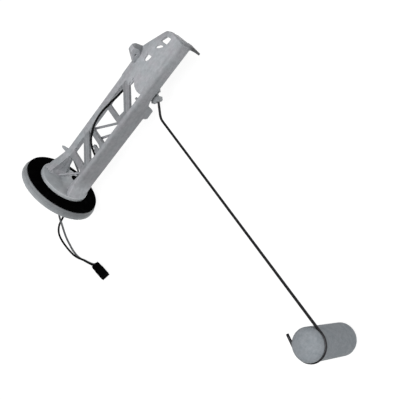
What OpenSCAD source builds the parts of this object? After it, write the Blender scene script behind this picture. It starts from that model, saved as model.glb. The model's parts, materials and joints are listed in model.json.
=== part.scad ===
// Fuel level sender: a flange-mounted plastic tower that carries a small
// variable resistor near its tip, swept by a float on a bent wire arm.
// Frame: origin at the centre of the seal's free face on the flange axis,
// +X along the tower from flange to tip, +Z square to the tower's open
// face, the float arm reaching towards -Y. All sizes in millimetres.

/* [Flange] */
// Radius of the round mounting flange
flange_r = 35; // [34.6:0.1:36]
// Radius of the flange's stepped front part
flange_step_r = 34.2; // [33.8:0.1:34.4]
// Thickness of the whole flange
flange_t = 6.4; // [5:0.1:7]
// Outer radius of the flat seal
seal_r = 33.5; // [31:0.1:33.6]
// Thickness of the flat seal
seal_t = 2.6; // [2:0.1:3]
// Radius of the pilot boss that centres in the tank opening
boss_r = 21.9; // [21.7:0.1:22.4]
// How far the pilot boss stands out of the seal
boss_h = 3; // [2.6:0.1:3.4]

/* [Tower] */
// Outer width of the tower
tower_w = 32; // [31:0.5:33]
// Height of the tower's open face above the flange axis
face_z = 3.8; // [3.4:0.1:4.2]
// Depth of the arm-side wall below the flange axis
wall_drop = 12.9; // [12:0.1:14]
// Depth of that wall near the tip, where the rotor passes under it
wall_drop_tip = 6.8; // [6:0.1:7.2]
// Depth of the far wall below the flange axis
far_drop = 6; // [5:0.1:7]
// Wall thickness of the moulding
wall_t = 2; // [1.6:0.1:2.2]
// Distance from the seal face to the tip
tower_l = 165; // [164:0.5:168]

/* [Arm] */
// Diameter of the arm wire
wire_d = 2; // [1.6:0.1:2]
// Level of the wire where it leaves the rotor
wire_z = -13.5; // [-13.8:0.1:-13.2]
// Level of the wire's loop round the float
loop_z = 12; // [11:0.5:13]
// Radius of the float
float_r = 11.3; // [11:0.1:12]
// Lowest point of the float; it rests on the ground together with the rim of the flange
float_low = -38; // [-38.5:0.5:-36]
// Overall length of the float
float_l = 58.5; // [57:0.5:60]

/* [Leads] */
// Diameter of the leads
lead_d = 1.8; // [1.6:0.05:1.8]
// Width of the connector
plug_w = 7.4; // [6.6:0.1:7.8]
// Length of the connector
plug_l = 15.6; // [15:0.2:16.4]
// Height of the connector
plug_h = 4.8; // [4.8:0.1:5.8]

/* [Hidden] */
$fn = 64;
e = 0.01;
floor_z = -flange_r;
hw = tower_w/2;
flange_x = -seal_t - flange_t;
seal_in = boss_r - 0.3;          // inner radius of the seal, in its groove
piv = [121, -7];                 // hinge centre
wr = wire_d/2;
arm_a = [103.9, -29.2];          // bend of the wire, seen from above
arm_0 = [110.4, -18.7];          // where the wire leaves the rotor
float_c = [104.5, -250.2];       // centre of the float
loop_r = float_r - 0.1;         // centreline of the wire's loop
loop_in = 3.3;                   // where the wire meets the loop, degrees
loop_turn = 195;                 // how far it wraps
plug_at = [-40.7, -58.7];        // lead end of the connector
plug_turn = -79.5;               // its direction on the floor
plug_roll = -30;                 // it lies rolled on its lower edge
lead_r = lead_d/2;
cord_z = floor_z + lead_r;

// Routes of the two free leads, from the strain relief to the connector
black_route = [[-13.9, 1.2, -7], [-17, 1, -7.2], [-20.4, 0.4, -8.4], [-23.8, -0.2, -10.6], [-27, -0.6, -13.6],
  [-30.2, -0.6, -17.2], [-33.4, -0.2, -21.2], [-36.8, 0.8, -25.6], [-40.4, 2.6, -29.6], [-44.3, 4.4, -32.6],
  [-47, 4.9, -33.8], [-50, 4.7, -34.1], [-54.2, 3.3, -34.1], [-57.6, 0.5, -34.1], [-59.6, -3.2, -34.1],
  [-60.3, -7.6, -34.1], [-60.3, -12.6, -34.1], [-59.7, -18.6, -34.1], [-58.6, -25, -34.1], [-56.7, -31.6, -33.8],
  [-53.9, -36.9, -33.1], [-51.4, -40.7, -32.5], [-48.9, -44.4, -32.1], [-46.6, -48.5, -31.7], [-44.3, -52.4, -31.3],
  [-42.2, -55.8, -30.9], [-40.8, -57.5, -30.5], [-40.55, -58.62, -30.47]];
grey_route = [[-13.9, -1.2, -7], [-17, -1, -7.4], [-20.4, 0, -9.4], [-23.8, 2, -12.2], [-27, 4.2, -15.4],
  [-30.4, 6.4, -18.8], [-34, 8.2, -22.8], [-37.8, 9.8, -26.8], [-41.6, 10.8, -30.2], [-45, 10.8, -32.3],
  [-47.4, 9, -32.7], [-48.8, 4.2, -32.5], [-50.3, 0.8, -33.2], [-52.1, -3.2, -33.9], [-53.7, -8.6, -34.1],
  [-54.6, -14.4, -34.1], [-55, -20.6, -34.1], [-55.2, -25.6, -34.1], [-54.8, -30.6, -34.1], [-54, -35, -34.1],
  [-52.2, -39.8, -34.1], [-49.9, -43.3, -34.1], [-47.8, -47.1, -34.1], [-45.6, -50.8, -34.1], [-43.2, -54, -33.7],
  [-40.9, -56, -32.9], [-39.3, -56.9, -32.2], [-38.6, -57.6, -31.8], [-38.47, -58.24, -31.7]];
// Route of the lead that lies across the tower's rungs, and of the one on the outer face of the far wall
signal_route = [[104.8, 7.6, -1.2], [99, 9.2, -1.4], [94, 9.4, -0.6], [90.6, 7.8, 2],
  [87, 6.8, 4.5], [82, 7.4, 4.8], [76, 8.4, 4.7], [69, 8.6, 4.6], [62, 7.4, 4.7],
  [56.5, 4.8, 4.9], [51.6, 1.4, 4.8], [47.9, -2.2, 4.2], [44.9, -7.3, 3], [42.2, -10.3, 0.4],
  [38, -10.9, -3.4], [30, -10.4, -7.4], [20, -6, -10.6], [11, 0, -12.4], [6, 3.4, -13], [3.4, 4.4, -13]];
ground_route = [[106.5, 11, -3.4], [103, 12, -5.4], [99.5, 13.8, -7.4], [96, 16, -8], [92, 17, -6.2],
  [88, 17, -3.2], [83, 16.9, -1.2], [76, 16.9, -0.6], [66, 16.9, -0.6], [56, 16.9, -0.6], [46, 16.9, -0.6],
  [36, 16.9, -0.7], [29, 16.9, -1.2], [24, 16.9, -2.8], [19.6, 16.8, -5.8], [15.6, 15.6, -9.6], [11.8, 12.8, -13.4],
  [8.6, 9, -16], [5.8, 5.8, -16.6], [3.4, 4.4, -16.6]];

// ---- vector helpers and the tube sweep ----
function unit(v) = v/norm(v);
function tangent(p, i) = let(n = len(p)) unit(p[min(i+1, n-1)] - p[max(i-1, 0)]);
function side_of(t) = unit(cross(t, abs(t[2]) > 0.9 ? [1, 0, 0] : [0, 0, 1]));
function ring(p, i, r, k) = let(t = tangent(p, i), s = side_of(t), u = cross(s, t))
  [for (j = [0:k-1]) p[i] + r*(s*cos(360*j/k) + u*sin(360*j/k))];
// A closed tube along the points of p
module tube(p, r, k = 8) {
  n = len(p);
  pts = [for (i = [0:n-1]) each ring(p, i, r, k)];
  quads = [for (i = [0:n-2], j = [0:k-1])
    let(a = i*k+j, b = i*k+(j+1)%k) [b, a, a+k, b+k]];
  ends = [[for (j = [0:k-1]) j], [for (j = [k-1:-1:0]) (n-1)*k+j]];
  polyhedron(points = pts, faces = concat(quads, ends), convexity = 6);
}
// A round bar between two points
module rod(a, b, r) {
  d = b - a;
  translate(a) rotate([0, acos(d[2]/norm(d)), atan2(d[1], d[0])]) cylinder(r = r, h = norm(d));
}
// A flat bar between two points of the plan, w wide, from z0 to z1
module bar(a, b, w, z0, z1, ext = 0) {
  d = b - a;
  translate([a[0], a[1], z0]) rotate(atan2(d[1], d[0]))
    translate([-ext, -w/2, 0]) cube([norm(d)+2*ext, w, z1-z0]);
}
// Extrudes a plan drawn in Y and Z along X, from x0 to x1
module along_x(x0, x1) {
  translate([x0, 0, 0]) rotate([90, 0, 90]) linear_extrude(x1-x0) children();
}
// Extrudes a plan drawn in X and Z along Y, from y0 to y1
module along_y(y0, y1) {
  translate([0, y1, 0]) rotate([90, 0, 0]) linear_extrude(y1-y0) children();
}

// ---- flange ----
// Round flange with the stepped rim and the pilot boss
module mounting_flange() {
  color([0.55, 0.56, 0.58]) difference() {
    union() {
      translate([flange_x, 0, 0]) rotate([0, 90, 0]) cylinder(r = flange_r, h = flange_t*0.6, $fn = 96);
      translate([flange_x, 0, 0]) rotate([0, 90, 0]) cylinder(r = flange_step_r, h = flange_t, $fn = 96);
      // boss, with a lip that keeps the seal on
      translate([flange_x, 0, 0]) rotate([0, 90, 0]) cylinder(r = seal_in, h = flange_t+seal_t+0.5, $fn = 96);
      rotate([0, 90, 0]) cylinder(r = boss_r, h = boss_h, $fn = 96);
      // socket round the strain relief, on the outside of the flange
      translate([flange_x-2, 0, -7]) rotate([0, 90, 0]) cylinder(r = 7.4, h = 3);
    }
    // pocket that lightens the outer side, left open round the socket
    difference() {
      translate([flange_x-e, 0, 0]) rotate([0, 90, 0]) cylinder(r = 30.5, h = 1.6, $fn = 96);
      translate([flange_x-1, 0, -7]) rotate([0, 90, 0]) cylinder(r = 7.4, h = 4);
      for (a = [0:60:300]) rotate([a, 0, 0]) translate([flange_x-1, -0.9, 6]) cube([4, 1.8, 26]);
    }
    // bore for the grommet, from the tank side
    translate([-4, 4.4, -14.8]) rotate([0, 90, 0]) cylinder(r = 4.2, h = 8);
    // bore for the strain relief, from the outside
    translate([flange_x-3, 0, -7]) rotate([0, 90, 0]) cylinder(r = 4.6, h = 6);
  }
}
// Flat rubber ring with rounded outer edges
module flange_seal() {
  color([0.02, 0.02, 0.02]) translate([-seal_t, 0, 0]) rotate([0, 90, 0]) rotate_extrude($fn = 96)
    polygon([[seal_in, 0], [seal_r, 0], [seal_r, seal_t-1], [seal_r-0.3, seal_t-0.3], [seal_r-1, seal_t], [boss_r+0.2, seal_t], [seal_in, seal_t-0.5]]);
}

// ---- tower ----
tube_r = 4;                       // outside corner of the arm-side wall
split_x = 108;                    // where the sensor plate begins
split_y = -hw + tube_r;           // inner edge of the arm-side rail
// Section of the arm-side wall: a deep web with a rounded top corner
module near_section(drop) {
  difference() {
    union() {
      translate([-hw, -drop]) square([wall_t, drop+face_z-tube_r]);
      intersection() {
        translate([-hw+tube_r, face_z-tube_r]) circle(r = tube_r);
        translate([-hw, face_z-tube_r]) square([tube_r, tube_r]);
      }
    }
    translate([-hw+tube_r, face_z-tube_r]) circle(r = tube_r-wall_t);
  }
}
// The moulded tower: two side walls joined by rungs, diagonals and thin ribs
module tower_frame() {
  color([0.58, 0.6, 0.62]) difference() {
    union() {
      // arm-side wall, full length, deep part then shallow part
      along_x(boss_h, 101.9) near_section(wall_drop);
      along_x(101.8, tower_l-1.9) near_section(wall_drop_tip);
      along_y(-hw, -hw+wall_t) polygon([[101.8, -wall_drop], [102.5, -wall_drop], [104.1, -8.6], [109, -wall_drop_tip], [109, -wall_drop_tip+0.5], [101.8, -wall_drop_tip+0.5]]);
      // far wall with its narrow rail
      along_x(boss_h, split_x) polygon([[hw-wall_t, -far_drop], [hw, -far_drop], [hw, face_z-0.8], [hw-0.8, face_z], [hw-6.4, face_z], [hw-6.4, face_z-wall_t], [hw-wall_t, face_z-wall_t-0.6]]);
      // rungs
      bar([26.5, -12.6], [26.5, 13], 6, face_z-3, face_z-0.1);
      bar([54.7, -12.6], [54.7, 13], 4, face_z-3, face_z-0.1);
      bar([80.8, -12.6], [80.8, 13], 4.4, face_z-3, face_z-0.1);
      translate([52.7, -hw+1, -5]) cube([1.5, tower_w-2, 6]);
      // diagonals
      intersection() {
        union() {
          bar([29.5, -15], [53.4, 15.5], 6.4, face_z-3, face_z-0.1);
          bar([87.4, -16.5], [112.5, 15.4], 6.4, face_z-3, face_z-0.1);
        }
        translate([20, -hw+2.6, -10]) cube([split_x-20, tower_w-4, 20]);
      }
      // raised middle lines of the diagonals
      bar([32.5, -11.2], [51, 12.4], 1.6, face_z-1, face_z+0.5);
      bar([91.5, -11.3], [106.6, 7.9], 1.6, face_z-1, face_z+0.5);
      // thin ribs at the back of the middle bay
      bar([53.4, 12.1], [83.5, -11.6], 1.8, -5, -3, 2.6);
      bar([53.4, 0.2], [72.6, -13], 1.8, -5, -3, 2);
      // webs where the rungs and diagonals meet the arm-side rail
      linear_extrude(2.4) polygon([[23, -13], [38, -13], [31.6, -8.2], [26, -7]]);
      translate([0, 0, face_z-2.5]) linear_extrude(2.4) polygon([[77, -13], [96, -13], [89.2, -8.4], [83, -7.4]]);
      translate([0, 0, face_z-2.5]) linear_extrude(2.4) polygon([[46.4, 13], [60, 13], [54.6, 9], [50.4, 8.6]]);
      // foot of the far wall: a fin that widens onto the boss
      along_y(hw-3, hw) polygon([[boss_h, -12], [10, -8.4], [22, -far_drop], [22.4, 2.4], [13.5, 7.6], [boss_h, 14.2]]);
      along_y(hw-6.2, hw-2.9) polygon([[boss_h, -6.5], [5, -4.8], [12.8, -3.9], [20.5, 0.4], [23, 2.4], [23, face_z-0.1], [14, 7.2], [boss_h, 12.4]]);
      // thin rib across the first bay
      bar([2.6, 7.4], [22.6, -10.9], 1.5, 1.4, face_z-0.1);
      // foot of the arm-side wall
      along_y(-hw, -hw+3.2) polygon([[boss_h, -14.6], [7, -13.5], [15.5, -wall_drop], [20, -wall_drop+2], [20, 0], [boss_h, 0]]);
      along_y(-hw+3, -hw+7) polygon([[boss_h, -12], [6, -11], [9, -2], [8, 1], [boss_h, 3.4]]);
      // stop for the wire arm
      along_y(-hw, -hw+3) polygon([[91.5, -12], [91.5, -15.2], [92.6, -17.2], [100.6, -16.8], [101.4, -16], [104, -8.7], [103, -8]]);
      // hook on the far side near the base
      translate([0, 0, 0.8]) linear_extrude(2.4) polygon([[24.8, hw-1], [24.6, 17.6], [22.8, 22], [22, 24], [20.8, 23.4], [20.6, 21.6], [21.3, 17], [21.3, hw-1]]);
      // nub on the rail near the sensor plate
      translate([104.2, split_y-0.4, 1.9]) cube([1.9, 2.6, 1.8]);
      // hook that holds the lead beside the middle rung
      translate([47.2, -7.4, face_z-3]) cube([2.4, 3, 2.9]);
      translate([44.6, -12.6, face_z-2.9]) cube([5, 6, 1.6]);
      // end flange that flares outwards at the tip
      along_x(tower_l-1.9, tower_l) polygon([[split_y, face_z], [-14.6, face_z-0.1], [-15.8, -1.8], [-18.1, -6.6], [-23.7, -9.6], [-23.3, -10.3],
        [-18.6, -8.8], [-15.6, -8.2], [-14, -8.2], [split_y, -6]]);
    }
    // the boss stays clear of the walls' feet
    translate([-2, 0, 0]) rotate([0, 90, 0]) cylinder(r = 40, h = 2+boss_h, $fn = 96);
  }
}

// ---- sensor ----
plate_t = 2;
plate_low = face_z - plate_t;     // underside of the plate
// The flat plate at the tip that carries the resistor and the pivot
module sensor_plate() {
  color([0.64, 0.65, 0.67]) difference() {
    union() {
      translate([0, 0, plate_low]) linear_extrude(plate_t) difference() {
        union() {
          polygon([[split_x, 2.6], [113.2, 2], [piv[0], piv[1]], [piv[0], split_y], [164.9, split_y], [164.2, -8], [163.5, -1.9], [162.6, 2],
            [161, 4.9], [157.4, 6.9], [150, 10.4], [141, 14.6], [138.4, hw-0.4], [137, hw], [split_x, hw]]);
          intersection() {
            translate(piv) circle(r = 11.7);
            translate([100, split_y]) square([40, 30]);
          }
        }
        // openings of the snap hooks behind the plate
        polygon([[157.6, 2.7], [159.3, -3.3], [153.4, -3.2], [152, 3.9]]);
        polygon([[144, 4.4], [146, 4.8], [148.5, 3.1], [150, 1], [150.6, -1.9], [147.3, 0.8]]);
        polygon([[136.4, 7.9], [137.7, 1.9], [134, 2.6], [131.2, 4.2], [130.9, 6.6]]);
      }
      // skirt along the far edge
      translate([split_x, hw-wall_t, -far_drop]) cube([30, wall_t, far_drop+plate_low+0.2]);
      bar([138.2, hw-1.2], [157.6, 5.9], wall_t, -2.8, plate_low+0.2, 0.4);
      bar([157.6, 5.9], [161.6, 2.4], wall_t, -2.8, plate_low+0.2, 0.4);
      // wall at the tip
      bar([161.4, 1.6], [163.6, split_y], wall_t, -far_drop, plate_low+0.2);
      // upright ear on the far edge
      hull() {
        along_y(hw-0.2, hw) polygon([[122.4, plate_low+0.2], [122.4, 4.2], [127.5, 10.6], [131, 14.8], [132.5, 15.4], [136.1, 15], [137.7, 12.4], [138, plate_low+0.2]]);
        along_y(hw-4.2, hw-4) polygon([[122.4, plate_low+0.2], [122.4, 4.2], [127.5, 10.6], [131, 14.8], [132.5, 15.4], [135.6, 15], [135.2, 9.2], [131, 4], [130, plate_low+0.2]]);
      }
      // seat of the pivot pin
      translate([piv[0], piv[1], plate_low-2.2]) cylinder(r = 4, h = 2.3);
      // ledges that hold the resistor card
      translate([129.85, 9.4, plate_low-1.8]) cube([1.2, 4, 1.9]);
      translate([110.6, 4, plate_low-1.8]) cube([1.35, 4.4, 1.9]);
    }
    // the tip wall stays on its own side of the rail
    translate([100, split_y-20, -20]) cube([90, 20, 50]);
    // blind hole for the pivot pin
    translate([piv[0], piv[1], -5]) cylinder(r = 2, h = 5+face_z-1);
    // eye of the ear
    translate([129.9, hw-6, 8.6]) rotate([-90, 0, 0]) cylinder(r = 0.9, h = 4, $fn = 24);
    // two small dimples
    translate([113.4, 3.5, face_z-1.4]) cylinder(r = 1, h = 2, $fn = 24);
    translate([109.2, 3.7, face_z-1.4]) cylinder(r = 1, h = 2, $fn = 24);
  }
}
card_top = plate_low;
card_t = 1;
track_t = 0.2;
card_low = card_top - card_t;
track_low = card_low - track_t;
// Arc in plan round the pivot, from radius r0 to r1 and from angle a0 to a1
module arc(r0, r1, a0, a1) {
  translate(piv) difference() {
    intersection() {
      circle(r = r1, $fn = 96);
      polygon(concat([[0, 0]], [for (k = [0:6]) 2*r1*[cos(a0+(a1-a0)*k/6), sin(a0+(a1-a0)*k/6)]]));
    }
    circle(r = r0, $fn = 96);
  }
}
// Ceramic card under the plate
module resistor_card() {
  color([0.86, 0.84, 0.78]) translate([0, 0, card_low]) linear_extrude(card_t)
    difference() {
      polygon([[113.4, 2.6], [116, -0.4], [129.4, -0.4], [129.8, 0], [129.8, 13.8], [112, 13.8], [112, 3.4]]);
      translate([114, 11.6]) circle(r = 0.8);
      translate([118.5, 11.6]) circle(r = 0.8);
    }
}
// Printed resistor arc, in segments between the conductor bars
module resistor_track() {
  color([0.12, 0.12, 0.13]) translate([0, 0, track_low]) linear_extrude(track_t) arc(12, 13.6, 50, 131);
}
// Printed collector arc
module collector_track() {
  color([0.75, 0.74, 0.7]) translate([0, 0, track_low]) linear_extrude(track_t) arc(9.4, 10.8, 50, 131);
}
// Two terminal tabs on the card: one leg runs to the first lead, one turns down to the second
module card_terminals() {
  color([0.78, 0.76, 0.68]) {
    difference() {
      union() {
        translate([112.6, 10.2, card_low-0.5]) cube([2.8, 3, 0.5]);
        translate([109.2, 10.6, card_low-0.5]) cube([3.6, 1.2, 0.5]);
      }
      translate([114, 11.6, -5]) cylinder(r = 0.8, h = 9, $fn = 32);
    }
    difference() {
      union() {
        translate([117.1, 10.2, card_low-0.5]) cube([2.8, 3, 0.5]);
        translate([117.9, 12.7, -3.6]) cube([1.2, 0.5, card_low+3.3]);
      }
      translate([118.5, 11.6, -5]) cylinder(r = 0.8, h = 9, $fn = 32);
    }
  }
}
// Hollow rivets that hold the tabs on the card
module card_rivets() {
  color([0.72, 0.6, 0.32]) for (k = [0, 1]) translate([114+4.5*k, 11.6, 0]) {
    translate([0, 0, card_low-0.5]) cylinder(r = 0.8, h = card_t+0.5, $fn = 32);
    translate([0, 0, card_low-0.9]) cylinder(r = 1.3, h = 0.4, $fn = 32);
  }
}
// Steel pin pressed into the plate
module pivot_pin() {
  color([0.7, 0.7, 0.72]) translate([piv[0], piv[1], -12.4]) {
    cylinder(r = 2, h = 12.4+face_z-1);
  }
}
// Plain washer between the plate's seat and the rotor
module thrust_washer() {
  color([0.8, 0.8, 0.82]) translate([piv[0], piv[1], plate_low-2.7]) difference() {
    cylinder(r = 4.4, h = 0.5);
    translate([0, 0, -1]) cylinder(r = 2, h = 3);
  }
}
// Push-on clip at the free end of the pin
module retaining_clip() {
  color([0.6, 0.6, 0.62]) translate([piv[0], piv[1], hub_low-0.6]) difference() {
    union() {
      cylinder(r = 3.4, h = 0.5);
      translate([0, 0, -0.6]) cylinder(r = 2.6, h = 0.7);
    }
    translate([0, 0, -1]) cylinder(r = 2, h = 3);
    for (a = [45:90:315]) rotate(a) translate([2.9, -0.3, -1]) cube([3, 0.6, 3]);
  }
}

// ---- leads ----
module signal_lead() {
  color([0.03, 0.03, 0.03]) tube(signal_route, lead_r);
}
module ground_lead() {
  color([0.45, 0.46, 0.47]) tube(ground_route, lead_r);
}
// Shrunk sleeves over the soldered ends of the inner leads
module crimp_sleeves() {
  color([0.4, 0.41, 0.42]) {
    rod([104.8, 7.6, -1.2], [109.6, 11.2, 0.5], 1.2);
    rod([106.5, 11, -3.4], [117.9, 12.6, -3], 1.2);
  }
}
// Rubber grommet in the boss, where the inner leads pass through
module lead_grommet() {
  color([0.05, 0.05, 0.05]) {
    translate([-4, 4.4, -14.8]) rotate([0, 90, 0]) cylinder(r = 4.2, h = 4+boss_h);
    translate([boss_h-e, 4.4, -14.8]) rotate([0, 90, 0]) cylinder(r = 3.6, h = 0.4+e);
  }
}
// Rubber strain relief on the outside, tapered towards the free leads
module strain_relief() {
  color([0.06, 0.06, 0.06]) translate([0, 0, -7]) rotate([0, 90, 0]) rotate_extrude()
    polygon([[0, -13.9], [2.8, -13.9], [3.2, -13.2], [4.6, flange_x-2], [4.6, flange_x+3], [0, flange_x+3]]);
}
module lead_black() {
  color([0.03, 0.03, 0.03]) tube(black_route, lead_r);
}
module lead_grey() {
  color([0.42, 0.43, 0.44]) tube(grey_route, lead_r);
}

// ---- connector, drawn lying along +X and then laid on the floor ----
module laid() {
  translate([plug_at[0], plug_at[1], floor_z-plug_w/2*sin(plug_roll)]) rotate(plug_turn) rotate([plug_roll, 0, 0]) children();
}
module connector_body() {
  color([0.04, 0.04, 0.04]) laid() difference() {
    union() {
      translate([2, -plug_w/2, 0]) cube([plug_l-2, plug_w, plug_h]);
      translate([0, -plug_w/2+0.15, 0.15]) cube([2.1, plug_w-0.3, plug_h-0.3]);
      // latch ramp
      translate([6.4, -1.4, plug_h-0.1]) cube([4.6, 2.8, 0.4]);
      translate([9.6, -1.4, plug_h+0.2]) cube([1.4, 2.8, 0.4]);
      // side guide ribs
      for (s = [-1, 1]) translate([4.6, s*(plug_w/2)-0.3, 1.4]) cube([plug_l-5.2, 0.6, 0.8]);
    }
    // cavities of the two contacts
    for (s = [-1, 1]) translate([3.1, s*1.3-0.85, 1.6]) cube([plug_l, 1.7, 2]);
    // pocket of the rear seal
    translate([-1, -plug_w/2+0.9, 0.9]) cube([4.2, plug_w-1.8, plug_h-1.8]);
    // slot of the side lock
    translate([7.9, -plug_w/2-1, 3.3]) cube([3, 1.9, 1.1]);
  }
}
module connector_contacts() {
  color([0.72, 0.66, 0.45]) laid() for (s = [-1, 1]) translate([3.25, s*1.3-0.75, 1.7]) difference() {
    cube([9.6, 1.5, 1.8]);
    translate([4, 0.3, 0.3]) cube([8, 0.9, 1.2]);
  }
}
module connector_lock() {
  color([0.35, 0.36, 0.38]) laid() translate([8, -plug_w/2-0.2, 3.4]) cube([2.8, 1.1, 0.9]);
}
module connector_seal() {
  color([0.1, 0.1, 0.11]) laid() translate([0, -plug_w/2+0.9, 0.9]) cube([3.2, plug_w-1.8, plug_h-1.8]);
}

// ---- moving arm ----
arm_dir = unit(arm_0 - arm_a);    // along the wire, towards the hub
wire_in = arm_0 + arm_dir*8;      // inner end of the wire in the rotor
arm_turn = atan2(arm_dir[1], arm_dir[0]);
hub_top = plate_low-2.75;
hub_low = -10.6;
// Moulded carrier: hub on the pin, clip for the wire, seat for the wiper
module rotor() {
  color([0.5, 0.51, 0.53]) difference() {
    union() {
      translate([piv[0], piv[1], hub_low]) cylinder(r = 4.6, h = hub_top-hub_low);
      // clip block along the wire
      translate([arm_0[0], arm_0[1], 0]) rotate(arm_turn) {
        translate([1.6, -2.7, -14.8]) cube([4, 8, 4]);
        translate([5.5, -1.1, -14.5]) cube([5.6, 6.2, 3.7]);
        // raised jaw over the wire
        translate([1.1, -2.2, -13.4]) cube([4.2, 4.4, 3.8]);
        translate([2.2, -3.6, -14.8]) cube([3, 1.2, 3.3]);
      }
      // web from the clip to the hub
      translate([piv[0], piv[1], -13]) rotate(arm_turn+180) translate([2.4, -7.6, 0]) cube([6.6, 6.2, 2.6]);
      translate([piv[0], piv[1], -12.6]) rotate(arm_turn+180) translate([1, -7.6, 0]) cube([6, 9, 3.4]);
      // seat of the wiper
      translate([piv[0], piv[1], hub_top-3]) rotate(wiper_rest) translate([2.4, -2.9, 0]) cube([4.8, 5.8, 2.2]);
    }
    translate([piv[0], piv[1], -20]) cylinder(r = 2.05, h = 30);
    // room for the clip under the hub
    translate([piv[0], piv[1], -20]) cylinder(r = 3.8, h = 20+hub_low);
    // channel that the wire snaps into from below, and the hole for its turned-up end
    translate([arm_0[0], arm_0[1], -20]) rotate(arm_turn) translate([-4, -wr-0.05, 0]) cube([12+wr, 2*wr+0.1, 20+wire_z+wr]);
    translate([wire_in[0], wire_in[1], wire_z]) cylinder(r = wr+0.05, h = 4.6, $fn = 32);
  }
}
wiper_rest = 68;                  // direction of the wiper at rest
wiper_z = hub_top - 0.8;          // top of the wiper's seat
finger_top = track_low - 0.55;    // upper face of the fingers
// Spring leaf with two fingers that rise to the tracks
module wiper_spring() {
  color([0.78, 0.62, 0.36]) translate([piv[0], piv[1], 0]) rotate(wiper_rest) difference() {
    union() {
      translate([5.05, -2.4, wiper_z]) cube([2.15, 4.8, 0.25]);
      for (k = [0, 1]) translate([0, k == 0 ? -2.2 : 0.4, 0]) rotate([90, 0, 0]) mirror([0, 0, 1])
        linear_extrude(1.8) polygon([[7, wiper_z], [9.2+2.4*k, finger_top-0.25], [10.9+2.8*k, finger_top-0.25],
          [10.9+2.8*k, finger_top], [9.1+2.4*k, finger_top], [7, wiper_z+0.25]]);
    }
    translate([6.1, 0, -10]) cylinder(r = 0.7, h = 20, $fn = 24);
  }
}
// Contact buttons on the ends of the fingers
module wiper_contacts() {
  color([0.82, 0.82, 0.84]) translate([piv[0], piv[1], 0]) rotate(wiper_rest)
    for (k = [0, 1]) translate([10.1+2.7*k, k == 0 ? -1.3 : 1.3, finger_top])
      cylinder(r1 = 0.7, r2 = 0.5, h = track_low-0.06-finger_top, $fn = 24);
}
// Stake that holds the leaf on the rotor
module wiper_stakes() {
  color([0.5, 0.51, 0.53]) translate([piv[0], piv[1], 0]) rotate(wiper_rest) translate([6.1, 0, 0]) {
    translate([0, 0, wiper_z]) cylinder(r = 0.7, h = 0.5, $fn = 24);
    translate([0, 0, wiper_z+0.25]) cylinder(r = 1.1, h = 0.3, $fn = 24);
  }
}
loop_0 = float_c + loop_r*[cos(loop_in), sin(loop_in)];
loop_1 = float_c + loop_r*[cos(loop_in-loop_turn), sin(loop_in-loop_turn)];
out_dir = [sin(loop_in-loop_turn), -cos(loop_in-loop_turn)];
// Points of the wire's centreline: up into the rotor, along it, round the bend,
// down the long straight run, round the float and out to the free end
function at_z(p, z) = [p[0], p[1], z];
run_dir = unit([loop_0[0]-arm_a[0], loop_0[1]-arm_a[1], loop_z-wire_z]);
bend_in = at_z(arm_a + arm_dir*4, wire_z);
bend_mid = at_z(arm_a, wire_z);
bend_out = bend_mid + run_dir*4;
wire_route = concat(
  [at_z(wire_in, wire_z+3.6), at_z(wire_in, wire_z+1.6)],
  [for (k = [0.25:0.25:0.75]) at_z(wire_in, wire_z+1.6)*(1-k)*(1-k) + at_z(wire_in, wire_z)*2*k*(1-k) + at_z(wire_in-arm_dir*1.6, wire_z)*k*k],
  [at_z(wire_in-arm_dir*1.6, wire_z)],
  [for (k = [0:0.2:1]) bend_in*(1-k)*(1-k) + bend_mid*2*k*(1-k) + bend_out*k*k],
  [at_z(loop_0 + [-sin(loop_in), cos(loop_in)]*4, loop_z) - [0, 0, 0.49]],
  [for (k = [0:1:26]) at_z(float_c + loop_r*[cos(loop_in-loop_turn*k/26), sin(loop_in-loop_turn*k/26)], loop_z)],
  [at_z(loop_1 + out_dir*12.8, loop_z)]);
// Bent wire: locked in the rotor, one bend, a long straight run, a loop round the float
module float_arm() {
  color([0.16, 0.16, 0.17]) tube(wire_route, wr, 12);
}
// Cylindrical float with domed ends and a groove for the wire
module float() {
  f0 = float_low;
  f1 = float_low + float_l;
  dome = 7;
  color([0.5, 0.52, 0.54]) translate([float_c[0], float_c[1], 0]) difference() {
    rotate_extrude($fn = 96) polygon(concat(
      [[0, f0]],
      [for (a = [15:15:75]) [float_r*sin(a), f0+dome*(1-cos(a))]],
      [[float_r, f0+dome], [float_r, f1-dome]],
      [for (a = [75:-15:15]) [float_r*sin(a), f1-dome*(1-cos(a))]],
      [[0, f1]]));
    translate([0, 0, loop_z]) rotate_extrude($fn = 96) translate([loop_r, 0]) circle(r = wr+0.05, $fn = 32);
  }
}

mounting_flange();
flange_seal();
tower_frame();
sensor_plate();
resistor_card();
resistor_track();
collector_track();
card_terminals();
card_rivets();
pivot_pin();
thrust_washer();
retaining_clip();
signal_lead();
ground_lead();
crimp_sleeves();
lead_grommet();
strain_relief();
lead_black();
lead_grey();
connector_body();
connector_contacts();
connector_lock();
connector_seal();
rotor();
wiper_spring();
wiper_contacts();
wiper_stakes();
float_arm();
float();
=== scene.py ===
import json
import math
import bmesh
import bpy
import numpy as np
from mathutils import Matrix, Vector, noise


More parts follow.
